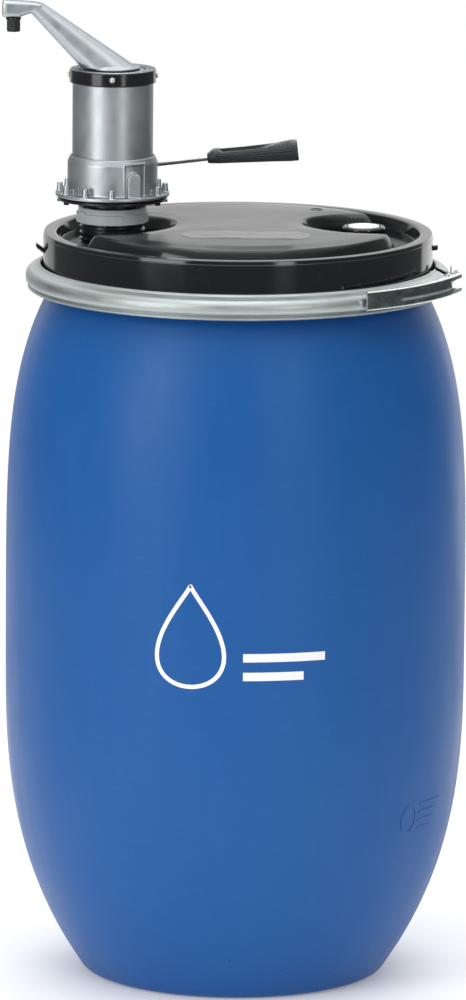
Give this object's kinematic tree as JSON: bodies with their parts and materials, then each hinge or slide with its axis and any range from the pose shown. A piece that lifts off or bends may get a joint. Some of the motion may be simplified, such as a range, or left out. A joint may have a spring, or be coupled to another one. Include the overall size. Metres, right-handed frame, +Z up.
{
  "type": "drum with hand lever pump",
  "caption": "Open-top plastic drum with clamped lid, and a hand lever piston pump with a swivelling spout standing in the lid's port.",
  "frame": {"origin": "centre of the drum's flat base, on the drum's axis", "axes": "+Z up along the drum's axis; +X to the right, with the pump on the -X side and the closure lever of the clamp ring on the +X side; -Y towards the viewer"},
  "size_m": [0.5, 0.495, 1.0544],
  "materials": {
    "blue_hdpe": "satin blow-moulded polyethylene",
    "black_plastic": "semi-gloss moulded",
    "galvanised_steel": "galvanised",
    "zinc_plated_steel": "bright zinc",
    "silver_casting": "satin casting",
    "grey_plastic": "moulded",
    "white_plastic": "moulded natural polyethylene",
    "seal_rubber": "soft seal",
    "brass": "machined"
  },
  "bodies": {
    "drum": {"drum_shell": "blue_hdpe", "drum_lid": "black_plastic", "base_plate": "black_plastic", "clamp_band": "black_plastic", "foot_strainer": "black_plastic", "clamp_ring": "galvanised_steel", "lever_rivet_top": "zinc_plated_steel", "lever_rivet_bottom": "zinc_plated_steel", "lever_bracket": "zinc_plated_steel", "hook_lug": "zinc_plated_steel", "flange_screw_01": "zinc_plated_steel", "flange_screw_02": "zinc_plated_steel", "flange_screw_03": "zinc_plated_steel", "flange_screw_04": "zinc_plated_steel", "flange_screw_05": "zinc_plated_steel", "flange_screw_06": "zinc_plated_steel", "flange_screw_07": "zinc_plated_steel", "flange_screw_08": "zinc_plated_steel", "flange_screw_09": "zinc_plated_steel", "flange_screw_10": "zinc_plated_steel", "flange_screw_11": "zinc_plated_steel", "flange_screw_12": "zinc_plated_steel", "band_screw_1": "zinc_plated_steel", "band_screw_2": "zinc_plated_steel", "band_screw_3": "zinc_plated_steel", "band_screw_4": "zinc_plated_steel", "pump_housing": "silver_casting", "pump_barrel": "silver_casting", "top_cover": "silver_casting", "union_nut": "grey_plastic", "suction_pipe": "grey_plastic", "lid_gasket": "seal_rubber", "neck_gasket": "seal_rubber", "base_gasket": "seal_rubber", "barrel_gasket": "seal_rubber", "shaft_seal": "seal_rubber", "shaft_bush": "brass", "valve_stop": "brass"},
    "spout": {"spout_arm": "silver_casting", "spout_seal": "seal_rubber", "outlet_nozzle": "black_plastic"},
    "hand_lever": {"lever_shaft": "zinc_plated_steel", "crank_arm": "galvanised_steel", "crank_pin": "zinc_plated_steel", "lever_hub": "zinc_plated_steel", "hub_screw": "zinc_plated_steel", "lever_rod": "zinc_plated_steel", "lever_grip": "black_plastic"},
    "piston": {"piston_rod": "zinc_plated_steel", "piston_disc": "white_plastic", "piston_seal": "seal_rubber", "piston_nut": "brass"},
    "delivery_valve": {"delivery_valve": "seal_rubber"},
    "suction_valve": {"suction_valve": "seal_rubber"},
    "closure_lever": {"closure_lever": "zinc_plated_steel", "link_pin": "zinc_plated_steel"},
    "closure_link": {"closure_link": "zinc_plated_steel"},
    "bung_gasket": {"bung_gasket": "seal_rubber"},
    "bung_plug": {"bung_plug": "white_plastic"}
  },
  "joints": [
    {"name": "lever_swing", "type": "hinge", "parent": "drum", "child": "hand_lever", "pos_m": [-0.11053, -0.01533, 0.8675], "axis": [0, -1, 0], "range_deg": [0, 60]},
    {"name": "piston_stroke", "type": "slide", "parent": "drum", "child": "piston", "axis": [0, 0, 1], "range_m": [-0.028, 0]},
    {"name": "delivery_valve_lift", "type": "slide", "parent": "piston", "child": "delivery_valve", "axis": [0, 0, 1], "range_m": [0, 0.003]},
    {"name": "suction_valve_lift", "type": "slide", "parent": "drum", "child": "suction_valve", "axis": [0, 0, 1], "range_m": [0, 0.004]},
    {"name": "spout_swivel", "type": "hinge", "parent": "drum", "child": "spout", "pos_m": [-0.13453, -0.01533, 0.9815], "axis": [0, 0, 1], "continuous": true},
    {"name": "closure_lever_swing", "type": "hinge", "parent": "drum", "child": "closure_lever", "pos_m": [0.22848, -0.05909, 0.7605], "axis": [0, 0, 1], "range_deg": [0, 110]},
    {"name": "closure_link_swing", "type": "hinge", "parent": "closure_lever", "child": "closure_link", "pos_m": [0.22191, -0.07425, 0.7605], "axis": [0, 0, 1], "range_deg": [-110, 0]},
    {"name": "plug_rise", "type": "slide", "parent": "drum", "child": "bung_gasket", "axis": [0, 0, 1], "range_m": [0, 0.012]},
    {"name": "plug_turn", "type": "hinge", "parent": "bung_gasket", "child": "bung_plug", "pos_m": [0.13453, 0.01533, 0.8], "axis": [0, 0, 1], "range_deg": [0, 1081]}
  ],
  "couplings": [
    {"joint": "piston_stroke", "follows": "lever_swing", "m_per_rad": -0.0267},
    {"joint": "closure_link_swing", "follows": "closure_lever_swing", "ratio": -1},
    {"joint": "plug_turn", "follows": "plug_rise", "rad_per_m": 1570.8}
  ]
}
